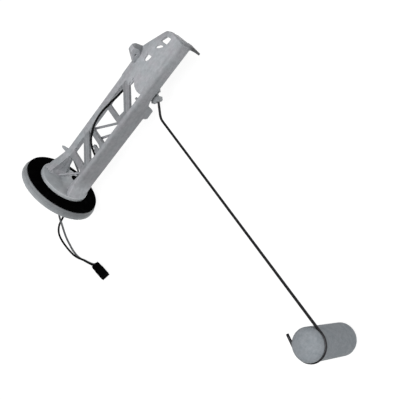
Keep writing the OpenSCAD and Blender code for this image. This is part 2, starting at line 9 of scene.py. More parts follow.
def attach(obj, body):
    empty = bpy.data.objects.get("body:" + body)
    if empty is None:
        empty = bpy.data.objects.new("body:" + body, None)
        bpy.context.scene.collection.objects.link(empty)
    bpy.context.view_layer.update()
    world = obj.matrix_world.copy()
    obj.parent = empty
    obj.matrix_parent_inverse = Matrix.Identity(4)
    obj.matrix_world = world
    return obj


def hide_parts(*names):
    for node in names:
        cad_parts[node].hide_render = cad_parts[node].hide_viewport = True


MM = 0.001
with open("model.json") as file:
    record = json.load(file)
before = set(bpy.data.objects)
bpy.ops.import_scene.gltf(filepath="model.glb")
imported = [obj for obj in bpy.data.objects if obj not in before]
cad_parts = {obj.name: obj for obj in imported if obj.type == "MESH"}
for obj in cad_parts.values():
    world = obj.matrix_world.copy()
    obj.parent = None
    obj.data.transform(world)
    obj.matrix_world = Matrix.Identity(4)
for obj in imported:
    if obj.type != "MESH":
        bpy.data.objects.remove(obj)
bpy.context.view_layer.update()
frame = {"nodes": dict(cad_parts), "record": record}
NODES = frame["nodes"]
scene = bpy.context.scene

# ------------------------------------------------------------------ camera
right = Vector((0.60154, -0.52228, -0.60446))
up = Vector((0.69649, 0.71346, 0.07667))
back = Vector((0.39121, -0.46712, 0.79294))
cam_data = bpy.data.cameras.new("view_camera")
cam_data.sensor_fit = "HORIZONTAL"
cam_data.sensor_width = 36.0
cam_data.lens = 64.31
cam_data.shift_x = -0.0059
cam_data.shift_y = -0.0012
cam_data.clip_start = 0.01
cam_data.clip_end = 20.0
camera = bpy.data.objects.new("view_camera", cam_data)
scene.collection.objects.link(camera)
camera.matrix_world = Matrix((
    (right.x, up.x, back.x, 0.30216),
    (right.y, up.y, back.y, -0.35914),
    (right.z, up.z, back.z, 0.41370),
    (0, 0, 0, 1)))
scene.camera = camera

FLOOR_Z = -0.035


# ------------------------------------------------------------------ helpers
def link(ob):
    scene.collection.objects.link(ob)
    return ob


def mesh_object(name, verts, faces, smooth=True):
    me = bpy.data.meshes.new(name)
    me.from_pydata([tuple(v) for v in verts], [], faces)
    me.validate()
    ob = link(bpy.data.objects.new(name, me))
    recalc(ob)
    if smooth:
        shade(ob)
    return ob


def recalc(ob):
    bm = bmesh.new()
    bm.from_mesh(ob.data)
    bmesh.ops.recalc_face_normals(bm, faces=bm.faces)
    bm.to_mesh(ob.data)
    bm.free()


def shade(ob, angle=None):
    ob.data.polygons.foreach_set("use_smooth", [True] * len(ob.data.polygons))
    if angle is not None:
        bm = bmesh.new()
        bm.from_mesh(ob.data)
        for ed in bm.edges:
            ed.smooth = len(ed.link_faces) != 2 or ed.calc_face_angle(0) < math.radians(angle)
        bm.to_mesh(ob.data)
        bm.free()
    ob.data.update()


def applied(ob):
    """The object with its modifiers turned into its mesh."""
    bpy.context.view_layer.update()
    dg = bpy.context.evaluated_depsgraph_get()
    me = bpy.data.meshes.new_from_object(ob.evaluated_get(dg))
    ob.modifiers.clear()
    ob.data = me
    return ob


def node_mesh(name):
    """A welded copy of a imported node's mesh, as a bmesh."""
    bm = bmesh.new()
    bm.from_mesh(NODES[name].data)
    bmesh.ops.remove_doubles(bm, verts=bm.verts, dist=2e-6)
    return bm


def put(bm, verts, faces):
    """Adds vertices in millimetres and faces to a bmesh, closed and outward."""
    vs = [bm.verts.new(Vector(v) * MM) for v in verts]
    fs = [bm.faces.new([vs[i] for i in f]) for f in faces]
    bmesh.ops.recalc_face_normals(bm, faces=fs)


def loft(bm, rings):
    """A closed solid through rings with the same number of points, in millimetres."""
    n = len(rings[0])
    verts = [p for r in rings for p in r]
    faces = [tuple(range(n)), tuple((len(rings) - 1) * n + j for j in range(n))]
    for i in range(len(rings) - 1):
        for j in range(n):
            k = (j + 1) % n
            faces.append((i * n + j, i * n + k, (i + 1) * n + k, (i + 1) * n + j))
    put(bm, verts, faces)


def slab(bm, outline, z0, z1):
    """Extrudes a plan outline from z0 to z1."""
    loft(bm, [[(x, y, z0) for x, y in outline], [(x, y, z1) for x, y in outline]])


def blob(bm, c, r, scale=(1, 1, 1)):
    start = len(bm.verts)
    geo = bmesh.ops.create_icosphere(bm, subdivisions=3, radius=r * MM)
    for v in geo["verts"]:
        v.co = Vector((v.co.x * scale[0], v.co.y * scale[1], v.co.z * scale[2])) + Vector(c) * MM


def moulded(name, bm, voxel, rounds, keep=None, factor=0.5):
    """One smooth moulding out of overlapping closed bodies: voxels, then rounded edges."""
    me = bpy.data.meshes.new(name)
    bm.to_mesh(me)
    bm.free()
    ob = link(bpy.data.objects.new(name, me))
    m = ob.modifiers.new("voxels", "REMESH")
    m.mode = "VOXEL"
    m.voxel_size = voxel * MM
    m.use_smooth_shade = True
    if rounds:
        m = ob.modifiers.new("rounding", "SMOOTH")
        m.factor = factor
        m.iterations = rounds
    if keep:
        m = ob.modifiers.new("lighter", "DECIMATE")
        m.ratio = keep
    applied(ob)
    shade(ob)
    return ob


def lathe(name, profile, seg=128, origin=(0, 0, 0), axis="X"):
    """Turns (height, radius) pairs in millimetres round an axis through origin."""
    ox, oy, oz = origin
    verts, faces = [], []
    rows = []
    for h, r in profile:
        if r < 1e-6:
            rows.append([len(verts)])
            verts.append(place(h, 0, 0, axis, ox, oy, oz))
        else:
            rows.append(list(range(len(verts), len(verts) + seg)))
            for k in range(seg):
                a = 2 * math.pi * k / seg
                verts.append(place(h, r * math.cos(a), r * math.sin(a), axis, ox, oy, oz))
    for a, b in zip(rows, rows[1:]):
        for k in range(seg):
            k1 = (k + 1) % seg
            if len(a) == 1 and len(b) == 1:
                continue
            if len(a) == 1:
                faces.append((a[0], b[k], b[k1]))
            elif len(b) == 1:
                faces.append((a[k], b[0], a[k1]))
            else:
                faces.append((a[k], b[k], b[k1], a[k1]))
    closed = len(rows[0]) > 1 and len(rows[-1]) > 1
    if closed:
        a, b = rows[-1], rows[0]
        for k in range(seg):
            k1 = (k + 1) % seg
            faces.append((a[k], b[k], b[k1], a[k1]))
    return mesh_object(name, verts, faces)


def place(h, u, v, axis, ox, oy, oz):
    if axis == "X":
        p = (ox + h, oy + u, oz + v)
    else:
        p = (ox + u, oy + v, oz + h)
    return tuple(c * MM for c in p)


def rounded(points, r, steps=5):
    """Rounds the corners of a closed (h, r) profile with short arcs. A number per corner in r."""
    out = []
    n = len(points)
    for i in range(n):
        p0, p, p1 = (Vector(points[(i + d) % n]) for d in (-1, 0, 1))
        rr = r[i] if isinstance(r, (list, tuple)) else r
        if rr <= 0:
            out.append(tuple(p))
            continue
        a, b = (p0 - p), (p1 - p)
        t = min(rr, a.length * 0.48, b.length * 0.48)
        a, b = p + a.normalized() * t, p + b.normalized() * t
        for k in range(steps + 1):
            s = k / steps
            out.append(tuple(a * (1 - s) ** 2 + p * 2 * s * (1 - s) + b * s * s))
    return out


def spline(points, step):
    """Points about step apart on a smooth curve through points."""
    P = [Vector(p) for p in points]
    P = [P[0] * 2 - P[1]] + P + [P[-1] * 2 - P[-2]]
    out = []
    for i in range(1, len(P) - 2):
        p0, p1, p2, p3 = P[i - 1:i + 3]
        n = max(1, int(math.ceil((p2 - p1).length / step)))
        for k in range(n):
            t = k / n
            m1 = (p2 - p0) * 0.5
            m2 = (p3 - p1) * 0.5
            out.append((2 * t ** 3 - 3 * t ** 2 + 1) * p1 + (t ** 3 - 2 * t ** 2 + t) * m1
                       + (-2 * t ** 3 + 3 * t ** 2) * p2 + (t ** 3 - t ** 2) * m2)
    out.append(P[-2])
    return out


def sweep(name, points, radius, sides=16, cap=0.0, bump=None):
    """A round tube along points in millimetres. radius is a number or one per point. cap rounds the ends."""
    P = [Vector(p) for p in points]
    n = len(P)
    R = [radius] * n if not isinstance(radius, (list, tuple)) else list(radius)
    T = [(P[min(i + 1, n - 1)] - P[max(i - 1, 0)]).normalized() for i in range(n)]
    if cap:
        head, tail = [], []
        for k in (3, 2, 1):
            a = k / 3 * math.pi / 2 * 0.96
            head.append((P[0] - T[0] * cap * math.sin(a), T[0], R[0] * math.cos(a)))
            tail.append((P[-1] + T[-1] * cap * math.sin(a), T[-1], R[-1] * math.cos(a)))
        P = [h[0] for h in head] + P + [h[0] for h in reversed(tail)]
        T = [h[1] for h in head] + T + [h[1] for h in reversed(tail)]
        R = [h[2] for h in head] + R + [h[2] for h in reversed(tail)]
        n = len(P)
    s = T[0].cross(Vector((0, 0, 1)))
    if s.length < 0.1:
        s = T[0].cross(Vector((1, 0, 0)))
    s.normalize()
    verts, faces = [], []
    for i in range(n):
        s = (s - T[i] * s.dot(T[i])).normalized()
        u = s.cross(T[i])
        for j in range(sides):
            a = 2 * math.pi * j / sides
            verts.append((P[i] + R[i] * (s * math.cos(a) + u * math.sin(a))) * MM)
    for i in range(n - 1):
        for j in range(sides):
            k = (j + 1) % sides
            faces.append((i * sides + j, i * sides + k, (i + 1) * sides + k, (i + 1) * sides + j))
    faces.append(tuple(range(sides)))
    faces.append(tuple((n - 1) * sides + j for j in range(sides)))
    return mesh_object(name, verts, faces)


# ------------------------------------------------------------------ materials
class Graph:
    def __init__(self, name):
        self.m = bpy.data.materials.new(name)
        self.m.use_nodes = True
        self.t = self.m.node_tree
        self.b = self.t.nodes["Principled BSDF"]
        self.pos = self.add("ShaderNodeTexCoord").outputs["Object"]

    def add(self, kind, **values):
        n = self.t.nodes.new(kind)
        for k, v in values.items():
            setattr(n, k, v)
        return n

    def link(self, a, b):
        self.t.links.new(a, b)

    def noise(self, scale, detail=3, rough=0.55, stretch=None):
        """Noise with a size given in millimetres, 0 to 1."""
        mp = self.add("ShaderNodeMapping")
        k = 1000.0 / scale
        s = stretch or (1, 1, 1)
        mp.inputs["Scale"].default_value = (k * s[0], k * s[1], k * s[2])
        self.link(self.pos, mp.inputs["Vector"])
        n = self.add("ShaderNodeTexNoise")
        n.inputs["Scale"].default_value = 1.0
        n.inputs["Detail"].default_value = detail
        n.inputs["Roughness"].default_value = rough
        self.link(mp.outputs["Vector"], n.inputs["Vector"])
        return n.outputs["Fac"]

    def ramp(self, fac, stops):
        r = self.add("ShaderNodeValToRGB")
        els = r.color_ramp.elements
        while len(els) < len(stops):
            els.new(0.5)
        for e, (p, c) in zip(els, stops):
            e.position = p
            e.color = (c[0], c[1], c[2], 1) if not isinstance(c, float) else (c, c, c, 1)
        self.link(fac, r.inputs["Fac"])
        return r.outputs["Color"]

    def mix(self, a, b, fac, mode="MIX"):
        n = self.add("ShaderNodeMix", data_type="RGBA", blend_type=mode)
        if isinstance(fac, float):
            n.inputs["Factor"].default_value = fac
        else:
            self.link(fac, n.inputs["Factor"])
        for k, v in (("A", a), ("B", b)):
            sock = [s for s in n.inputs if s.name == k and s.type == "RGBA"][0]
            if isinstance(v, tuple):
                sock.default_value = (*v, 1)
            else:
                self.link(v, sock)
        return [s for s in n.outputs if s.type == "RGBA"][0]

    def scaled(self, fac, lo, hi, a=0.3, b=0.7):
        n = self.add("ShaderNodeMapRange")
        n.inputs["From Min"].default_value = a
        n.inputs["From Max"].default_value = b
        n.inputs["To Min"].default_value = lo
        n.inputs["To Max"].default_value = hi
        self.link(fac, n.inputs["Value"])
        return n.outputs["Result"]

    def math(self, op, a, b):
        n = self.add("ShaderNodeMath", operation=op)
        for i, v in enumerate((a, b)):
            if isinstance(v, (int, float)):
                n.inputs[i].default_value = v
            else:
                self.link(v, n.inputs[i])
        return n.outputs[0]

    def bump(self, height, strength, distance):
        n = self.add("ShaderNodeBump")
        n.inputs["Strength"].default_value = strength
        n.inputs["Distance"].default_value = distance * MM
        self.link(height, n.inputs["Height"])
        self.link(n.outputs["Normal"], self.b.inputs["Normal"])

    def finish(self, color=None, rough=None, **fixed):
        if color is not None:
            self.link(color, self.b.inputs["Base Color"])
        if rough is not None:
            self.link(rough, self.b.inputs["Roughness"])
        for k, v in fixed.items():
            self.b.inputs[k.replace("_", " ")].default_value = v
        return self.m


def pointiness(g):
    return g.add("ShaderNodeNewGeometry").outputs["Pointiness"]


def plastic(name, base, tint_a, tint_b, rough=(0.46, 0.62), spec=0.35, mottle=9.0, grain=0.55, bump=0.16, streak=None, place=None):
    """Matt moulding: broad faint clouds, fine speckle, paler convex edges, painted shade in the hollows."""
    g = Graph(name)
    clouds = g.ramp(g.noise(mottle, 4, 0.6), [(0.32, tint_a), (0.5, base), (0.7, tint_b)])
    spots = g.ramp(g.noise(mottle * 0.35, 3, 0.6), [(0.36, 0.90), (0.55, 1.0), (0.68, 1.06)])
    col = g.mix(clouds, spots, 1.0, "MULTIPLY")
    fine = g.noise(grain, 3, 0.6)
    col = g.mix(col, g.ramp(fine, [(0.3, 0.93), (0.7, 1.06)]), 1.0, "MULTIPLY")
    if streak:
        flow = g.noise(2.2, 3, 0.5, stretch=streak)
        col = g.mix(col, g.ramp(flow, [(0.35, 0.93), (0.65, 1.05)]), 1.0, "MULTIPLY")
    # place multiplies in the painted light and shade that the caller gives for this moulding
    if place:
        col = g.mix(col, place(g), 1.0, "MULTIPLY")
    # painted shade: pointiness darkens hollows to 0.8 of the colour, and convex edges are made paler
    edge = g.ramp(pointiness(g), [(0.44, 0.80), (0.497, 1.0), (0.505, 1.0), (0.56, 1.12)])
    col = g.mix(col, edge, 1.0, "MULTIPLY")
    g.bump(g.math("ADD", fine, g.math("MULTIPLY", g.noise(grain * 5, 2), 1.6)), bump, 0.05)
    return g.finish(col, g.scaled(g.noise(mottle * 0.6, 3), *rough), Specular_IOR_Level=spec, IOR=1.48)


def times(g, *values):
    out = values[0]
    for v in values[1:]:
        out = g.math("MULTIPLY", out, v)
    return out


def axes(g):
    sep = g.add("ShaderNodeSeparateXYZ")
    g.link(g.pos, sep.inputs[0])
    return sep.outputs


def tower_painted_shade(g):
    """Painted shade on the grey moulding: the arm-side rail and wall, the truss, the far rail, the foot, the tip's
    edge, the +X-facing faces of the ear, the horn, the tip corner and the plate's far edge are darkened against the
    paler plate.
    """
    x, y, z = axes(g)
    # painted shade: the arm-side rail and wall, which face away from the key light, are darkened
    rail = times(g, g.scaled(y, 0.38, 0.0, -0.0152, -0.0102), g.scaled(x, 1.0, 0.82, 0.095, 0.115))
    wall = g.scaled(y, 0.11, 0.0, -0.0156, -0.0140)
    near = times(g, g.math("ADD", rail, wall), g.scaled(x, 0.0, 1.0, 0.010, 0.022), g.scaled(x, 1.0, 0.82, 0.125, 0.145))
    truss = times(g, g.scaled(y, 0.0, 0.38, -0.0128, -0.0110), g.scaled(y, 1.0, 0.0, 0.0086, 0.0100),
                  g.scaled(x, 0.0, 1.0, 0.018, 0.023), g.scaled(x, 1.0, 0.0, 0.1062, 0.1085))
    far = times(g, g.scaled(y, 0.0, 0.11, 0.0086, 0.0100), g.scaled(x, 1.0, 0.0, 0.1062, 0.1085))
    foot = g.scaled(x, 0.19, 0.0, 0.014, 0.024)
    tip = g.scaled(x, 0.0, 0.34, 0.1626, 0.1638)
    nrm = g.add("ShaderNodeSeparateXYZ")
    g.link(g.add("ShaderNodeNewGeometry").outputs["Normal"], nrm.inputs[0])
    # painted shade: ear faces turned towards +X are darkened by their normal
    ear = times(g, g.scaled(nrm.outputs[0], 0.0, 0.45, 0.25, 0.5), g.scaled(z, 0.0, 1.0, 0.0042, 0.0052), g.scaled(x, 0.0, 1.0, 0.10, 0.11))
    horn = times(g, g.scaled(y, 0.70, 0.0, -0.0185, -0.0162), g.scaled(x, 0.0, 1.0, 0.150, 0.156))
    out = g.math("SUBTRACT", 1.0, near)
    flat = g.scaled(z, 1.0, 0.0, 0.0042, 0.0052)
    # painted shade where the tip corner and the plate's far edge roll away from the light
    corner = times(g, g.scaled(x, 0.0, 0.36, 0.147, 0.161), g.scaled(y, 0.0, 1.0, -0.004, 0.007), flat)
    edge = times(g, g.scaled(y, 0.0, 0.16, 0.006, 0.012), g.scaled(x, 0.0, 1.0, 0.1062, 0.1085), flat)
    for part in (truss, far, foot, tip, ear, horn, corner, edge):
        out = g.math("MULTIPLY", out, g.math("SUBTRACT", 1.0, part))
    return out


def boss_painted_shading(g):
    # painted light on the boss's front face (x1.22) and painted shade along the rim, darkest towards -Y
    x, y, z = axes(g)
    front = g.scaled(x, 0.0, 1.0, -0.0012, 0.0002)
    rim = times(g, g.scaled(y, 0.62, 0.93, -0.033, 0.002), g.scaled(y, 0.74, 1.0, -0.0345, -0.029),
                g.scaled(x, 1.26, 0.93, -0.0074, -0.0050), g.scaled(x, 1.0, 0.8, -0.0034, -0.0028))
    return g.math("ADD", g.math("MULTIPLY", front, 1.22), g.math("MULTIPLY", g.math("SUBTRACT", 1.0, front), rim))


def float_painted_shade(g):
    # painted shade: the float's side below the cap is darkened to 0.8 of the lit top
    return g.scaled(axes(g)[2], 0.80, 1.0, 0.012, 0.0185)


def rubber(name, base, rough=(0.55, 0.8), spec=0.25, grain=0.4, bump=0.25):
    g = Graph(name)
    lo = tuple(c * 0.7 for c in base)
    hi = tuple(min(1, c * 1.5 + 0.002) for c in base)
    col = g.ramp(g.noise(6.0, 4, 0.6), [(0.3, lo), (0.55, base), (0.75, hi)])
    fine = g.noise(grain, 3, 0.6)
    g.bump(fine, bump, 0.06)
    return g.finish(col, g.scaled(g.noise(3.0, 3), *rough), Specular_IOR_Level=spec, IOR=1.5)


def metal(name, base, dark, rough=(0.25, 0.45), grain=0.3, stretch=(1, 1, 1), spots=0.0, bump=0.1):
    g = Graph(name)
    col = g.ramp(g.noise(grain * 4, 4, 0.6, stretch), [(0.3, dark), (0.65, base)])
    fine = g.noise(grain, 3, 0.6, stretch)
    col = g.mix(col, g.ramp(fine, [(0.3, 0.88), (0.7, 1.08)]), 1.0, "MULTIPLY")
    g.bump(fine, bump, 0.02)
    return g.finish(col, g.scaled(fine, *rough), Metallic=1.0)


M = {}
# the tower's moulding carries painted shade on its rails, truss, foot, tip, ear and horn
M["grey_moulding"] = plastic("grey_moulding", (0.485, 0.50, 0.525), (0.455, 0.485, 0.51), (0.515, 0.505, 0.54), streak=(0.25, 1, 1), place=tower_painted_shade)
# the flange carries painted light on the boss's front face and painted shade along its rim
M["flange_moulding"] = plastic("flange_moulding", (0.38, 0.40, 0.415), (0.355, 0.38, 0.40), (0.405, 0.41, 0.425), mottle=12.0, place=boss_painted_shading)
M["rotor_plastic"] = plastic("rotor_plastic", (0.275, 0.29, 0.30), (0.25, 0.265, 0.28), (0.30, 0.31, 0.32), mottle=4.0, grain=0.3)
# the float carries painted shade on its side below the top cap
M["float_plastic"] = plastic("float_plastic", (0.30, 0.325, 0.35), (0.275, 0.305, 0.33), (0.325, 0.345, 0.37), rough=(0.6, 0.8), spec=0.2, mottle=5.0, grain=0.45, bump=0.45, place=float_painted_shade)
M["seal_rubber"] = rubber("seal_rubber", (0.0012, 0.0012, 0.0014), rough=(0.7, 0.9), spec=0.0)
M["plug_black"] = plastic("plug_black", (0.0012, 0.0012, 0.0014), (0.001, 0.001, 0.001), (0.002, 0.002, 0.0022), rough=(0.5, 0.65), spec=0.02, mottle=3.0, grain=0.2)
M["lock_grey"] = plastic("lock_grey", (0.10, 0.105, 0.11), (0.08, 0.085, 0.09), (0.12, 0.125, 0.13), rough=(0.35, 0.5), spec=0.35, mottle=2.0, grain=0.2)
M["plug_seal"] = rubber("plug_seal", (0.03, 0.03, 0.032), grain=0.2)
M["lead_black"] = rubber("lead_black", (0.0015, 0.0015, 0.0017), rough=(0.5, 0.65), spec=0.12, grain=0.25, bump=0.1)
M["lead_grey"] = rubber("lead_grey", (0.11, 0.115, 0.12), rough=(0.45, 0.6), spec=0.2, grain=0.25, bump=0.1)
M["sleeve_grey"] = rubber("sleeve_grey", (0.17, 0.175, 0.18), rough=(0.4, 0.6), spec=0.3, grain=0.5, bump=0.4)
M["wire_steel"] = metal("wire_steel", (0.060, 0.060, 0.063), (0.030, 0.030, 0.033), rough=(0.38, 0.55), grain=0.35, bump=0.2)
M["pin_steel"] = metal("pin_steel", (0.62, 0.62, 0.64), (0.42, 0.42, 0.44), grain=0.2)
M["tin_brass"] = metal("tin_brass", (0.70, 0.62, 0.42), (0.50, 0.42, 0.25), grain=0.25)
M["spring_bronze"] = metal("spring_bronze", (0.70, 0.47, 0.26), (0.50, 0.31, 0.15), grain=0.25, stretch=(1, 0.2, 1))
M["contact_silver"] = metal("contact_silver", (0.78, 0.78, 0.80), (0.55, 0.54, 0.53), grain=0.15)
M["track_silver"] = metal("track_silver", (0.70, 0.69, 0.65), (0.50, 0.48, 0.44), rough=(0.4, 0.6), grain=0.15)


def ceramic(name):
    g = Graph(name)
    col = g.ramp(g.noise(2.5, 4, 0.6), [(0.3, (0.66, 0.62, 0.54)), (0.6, (0.78, 0.75, 0.68))])
    fine = g.noise(0.2, 3, 0.6)
    col = g.mix(col, g.ramp(fine, [(0.3, 0.92), (0.7, 1.04)]), 1.0, "MULTIPLY")
    g.bump(fine, 0.3, 0.03)
    return g.finish(col, g.scaled(fine, 0.55, 0.75), Specular_IOR_Level=0.3)


M["card_ceramic"] = ceramic("card_ceramic")


def ink(name):
    """Printed resistor: dark ink crossed by fine silver bars that point to the pivot."""
    g = Graph(name)
    sub = g.add("ShaderNodeVectorMath", operation="SUBTRACT")
    sub.inputs[1].default_value = (0.121, -0.007, 0)
    g.link(g.pos, sub.inputs[0])
    sep = g.add("ShaderNodeSeparateXYZ")
    g.link(sub.outputs[0], sep.inputs[0])
    ang = g.math("ARCTAN2", sep.outputs[1], sep.outputs[0])
    wave = g.math("SINE", g.math("MULTIPLY", ang, 190.0), 0.0)
    bars = g.ramp(g.scaled(wave, 0.0, 1.0, -1.0, 1.0), [(0.55, (0.022, 0.022, 0.026)), (0.75, (0.45, 0.44, 0.40))])
    fine = g.noise(0.15, 3, 0.6)
    col = g.mix(bars, g.ramp(fine, [(0.3, 0.85), (0.7, 1.1)]), 1.0, "MULTIPLY")
    g.bump(fine, 0.3, 0.02)
    return g.finish(col, g.scaled(fine, 0.4, 0.6), Specular_IOR_Level=0.4)


M["track_ink"] = ink("track_ink")


def paint(ob, key):
    ob.data.materials.clear()
    ob.data.materials.append(M[key])
    return ob


# every node starts with its own finish
for entry in frame["record"]["subparts"]:
    NODES[entry["node"]].data.materials.clear()
    NODES[entry["node"]].data.materials.append(M[entry["material_slot"]])


def ready(ob, key, body, *nodes, slot=None):
    paint(ob, key)
    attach(ob, body)
    if nodes:
        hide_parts(*nodes)
    return ob


# ------------------------------------------------------------------ free leads
BLACK = [[-13.9, 1.2, -7], [-17, 1, -7.2], [-20.4, 0.4, -8.4], [-23.8, -0.2, -10.6], [-27, -0.6, -13.6],
         [-30.2, -0.6, -17.2], [-33.4, -0.2, -21.2], [-36.8, 0.8, -25.6], [-40.4, 2.6, -29.6], [-44.3, 4.4, -32.6],
         [-47, 4.9, -33.8], [-50, 4.7, -34.1], [-54.2, 3.3, -34.1], [-57.6, 0.5, -34.1], [-59.6, -3.2, -34.1],
         [-60.3, -7.6, -34.1], [-60.3, -12.6, -34.1], [-59.7, -18.6, -34.1], [-58.6, -25, -34.1], [-56.7, -31.6, -33.8],
         [-53.9, -36.9, -33.1], [-51.4, -40.7, -32.5], [-48.9, -44.4, -32.1], [-46.6, -48.5, -31.7], [-44.3, -52.4, -31.3],
         [-42.2, -55.8, -30.9], [-40.8, -57.5, -30.5], [-40.55, -58.62, -30.47]]
GREY = [[-13.9, -1.2, -7], [-17, -1, -7.4], [-20.4, 0, -9.4], [-23.8, 2, -12.2], [-27, 4.2, -15.4],
        [-30.4, 6.4, -18.8], [-34, 8.2, -22.8], [-37.8, 9.8, -26.8], [-41.6, 10.8, -30.2], [-45, 10.8, -32.3],
        [-47.4, 9, -32.7], [-48.8, 4.2, -32.5], [-50.3, 0.8, -33.2], [-52.1, -3.2, -33.9], [-53.7, -8.6, -34.1],
        [-54.6, -14.4, -34.1], [-55, -20.6, -34.1], [-55.2, -25.6, -34.1], [-54.8, -30.6, -34.1], [-54, -35, -34.1],
        [-52.2, -39.8, -34.1], [-49.9, -43.3, -34.1], [-47.8, -47.1, -34.1], [-45.6, -50.8, -34.1], [-43.2, -54, -33.7],
        [-40.9, -56, -32.9], [-39.3, -56.9, -32.2], [-38.6, -57.6, -31.8], [-38.47, -58.24, -31.7]]


def free_lead(name, route, key):
    line = spline(route, 1.0)
    ob = sweep(name, line, 0.9, sides=18)
    ready(ob, key, "tower", key)
    return ob


# ------------------------------------------------------------------ connector
bm = node_mesh("connector_body")
plug = moulded("plug_housing", bm, 0.12, 1, keep=0.5)
ready(plug, "plug_black", "tower", "connector_body")
black_lead = free_lead("free_lead_black", BLACK, "lead_black")
grey_lead = free_lead("free_lead_grey", GREY, "lead_grey")

# ------------------------------------------------------------------ flange, seal
bm = node_mesh("mounting_flange")
flange = moulded("flange_moulding", bm, 0.36, 4, keep=0.5)
ready(flange, "flange_moulding", "tower", "mounting_flange", slot="grey_moulding")

seal_profile = rounded([(-2.6, 21.6), (-2.6, 33.4), (-0.9, 33.5), (0.0, 32.4), (0.0, 22.1), (-0.5, 21.6)], [0.1, 0.35, 0.7, 0.7, 0.1, 0.1])
seal = lathe("flat_seal", seal_profile, 160)
ready(seal, "seal_rubber", "tower", "flange_seal")

# ------------------------------------------------------------------ tower
bm = node_mesh("tower_frame")
bm2 = node_mesh("sensor_plate")
tmp = bpy.data.meshes.new("tmp")
bm2.to_mesh(tmp)
bm2.free()
bm.from_mesh(tmp)
bpy.data.meshes.remove(tmp)


def lerp(a, b, t):
    return a + (b - a) * t


# bodies that bridge the plate and the two rails
slab(bm, [(107.2, 12.6), (109.4, 12.6), (109.4, 15.9), (107.2, 15.9)], 1.9, 3.7)
slab(bm, [(107.2, 14.1), (109.4, 14.1), (109.4, 15.9), (107.2, 15.9)], -5.9, 2.5)
slab(bm, [(114, -12.8), (163, -12.8), (163, -11.2), (114, -11.2)], 1.9, 3.75)

# far foot: the wall flares down to the boss in one concave sweep
far_rings = []
for x in np.linspace(2.8, 24, 22):
    x = float(x)
    top = float(np.interp(x, [2.8, 4.5, 9.3, 14.6, 22, 24], [12.9, 12.2, 11.2, 8.1, 4.9, 3.8]))
    low = float(np.interp(x, [2.8, 5.3, 11.1, 17.5, 24], [-12.0, -10.4, -7.2, -6.0, -5.9]))
    low_in = float(np.interp(x, [2.8, 5, 12.8, 20.5, 24], [-7.0, -4.8, -3.9, 0.4, 2.2]))
    inner = float(np.interp(x, [2.8, 3.4, 4.4, 6, 9, 24], [5.6, 7.4, 8.7, 9.4, 9.8, 9.9]))
    crown = float(np.interp(x, [2.8, 10, 24], [11.6, 12.6, 13.6]))
    far_rings.append([(x, 16, low + 0.3), (x, 16, top - 0.6), (x, 15.4, top), (x, crown, top), (x, inner + 0.9, top * 0.72 + 0.9),
                      (x, inner, min(top * 0.5 + 1.6, 3.6 + 0.08 * top)), (x, inner, low_in), (x, 14, min(low_in - 0.3, low + 4)), (x, 14, low)])
loft(bm, far_rings)

# near foot: the arm-side wall flares out and up to the edge of the boss
near_rings = []
for x in np.linspace(2.8, 24, 24):
    x = float(x)
    h = min(1.0, max(0.0, (12.5 - x) / 9.7)) ** 1.7
    cy = float(np.interp(x, [2.8, 11.7, 24], [-19.3, -14.3, -12.0]))
    cz = float(np.interp(x, [2.8, 11.7, 24], [8.3, 5.4, 3.72]))
    near_rings.append([(x, -15.95 - 3.5 * h, lerp(-12.6, -9.7, h)), (x, -15.95 - 5.7 * h, lerp(-1.0, -2.0, h)),
                       (x, -15.95 - 5.7 * h, lerp(-0.3, 1.7, h)), (x, cy - 0.6, cz - 0.5), (x, cy + 0.4, cz),
                       (x, min(cy + 3.2, -11.2), cz - 0.3), (x, lerp(-11.0, -8.6, h), lerp(2.2, 1.6, h)),
                       (x, lerp(-13.9, -8.8, h), lerp(-2.0, -6.0, h)), (x, lerp(-13.9, -11.0, h), lerp(-12.0, -9.0, h))])
loft(bm, near_rings)

# thin rib that crosses the first bay
slab(bm, [(22.0, -11.4), (23.0, -10.3), (3.5, 7.55), (2.8, 7.6), (2.8, 6.2)], 1.2, 3.66)

# end flange: concave sweep from the wall into the thin horn
horn = []
for k in range(13):
    t = k / 12
    y = lerp(-13.4, -23.6, t)
    f = max(0.0, 1 - 1.15 * t) ** 2
    zt = float(np.interp(-y, [13.4, 14.6, 15.8, 18.1, 23.7], [3.7, 3.5, -1.8, -6.6, -9.6]))
    zb = float(np.interp(-y, [13.4, 15.6, 18.6, 23.4], [-8.2, -8.3, -8.9, -10.3]))
    x0 = 162.3 - 2.2 * f + 0.9 * t
    horn.append([(x0, y, zb), (x0, y, max(zb + 0.3, zt - 2.2 * f)), (x0 + 1.0 * f + 0.3, y, zt), (164.9, y, zt - 0.2), (164.9, y, zb)])
loft(bm, horn)

# fillets where the rungs and diagonals run into the rails
def web(points, z0, z1):
    slab(bm, points, z0, z1)


web([(81.5, 13), (78.6, 12.8), (78.9, 9.4), (78.6, 6.6), (82.9, 6.6), (84.6, 10.2), (88.6, 13)], 1.2, 3.68)
web([(29.2, 13), (33.4, 12.8), (30.6, 10.6), (29.6, 7)], 1.0, 3.66)
web([(24, 13), (20, 12.8), (22.6, 11), (23.6, 8)], 1.0, 3.66)
web([(23.8, -13), (19.6, -12.8), (22.4, -11.2), (23.6, -8)], 1.0, 3.66)
web([(38.4, -12.9), (43, -12.8), (38, -10.6), (35.2, -7)], 1.2, 3.66)
web([(52.6, -13), (49.6, -12.8), (51.8, -11), (52.7, -8.6)], 1.2, 3.66)
web([(56.7, -13), (60, -12.8), (57.6, -11), (56.8, -8.6)], 1.2, 3.66)
web([(56.7, 12.8), (60.6, 12.9), (57.6, 10.6), (56.8, 8)], 1.2, 3.66)
web([(100.6, 7.4), (107.9, 4.4), (108.4, 15), (100, 15), (104.6, 12)], 1.6, 3.66)

tower = moulded("tower_moulding", bm, 0.27, 4, keep=0.23)
ready(tower, "grey_moulding", "tower", "tower_frame", "sensor_plate")

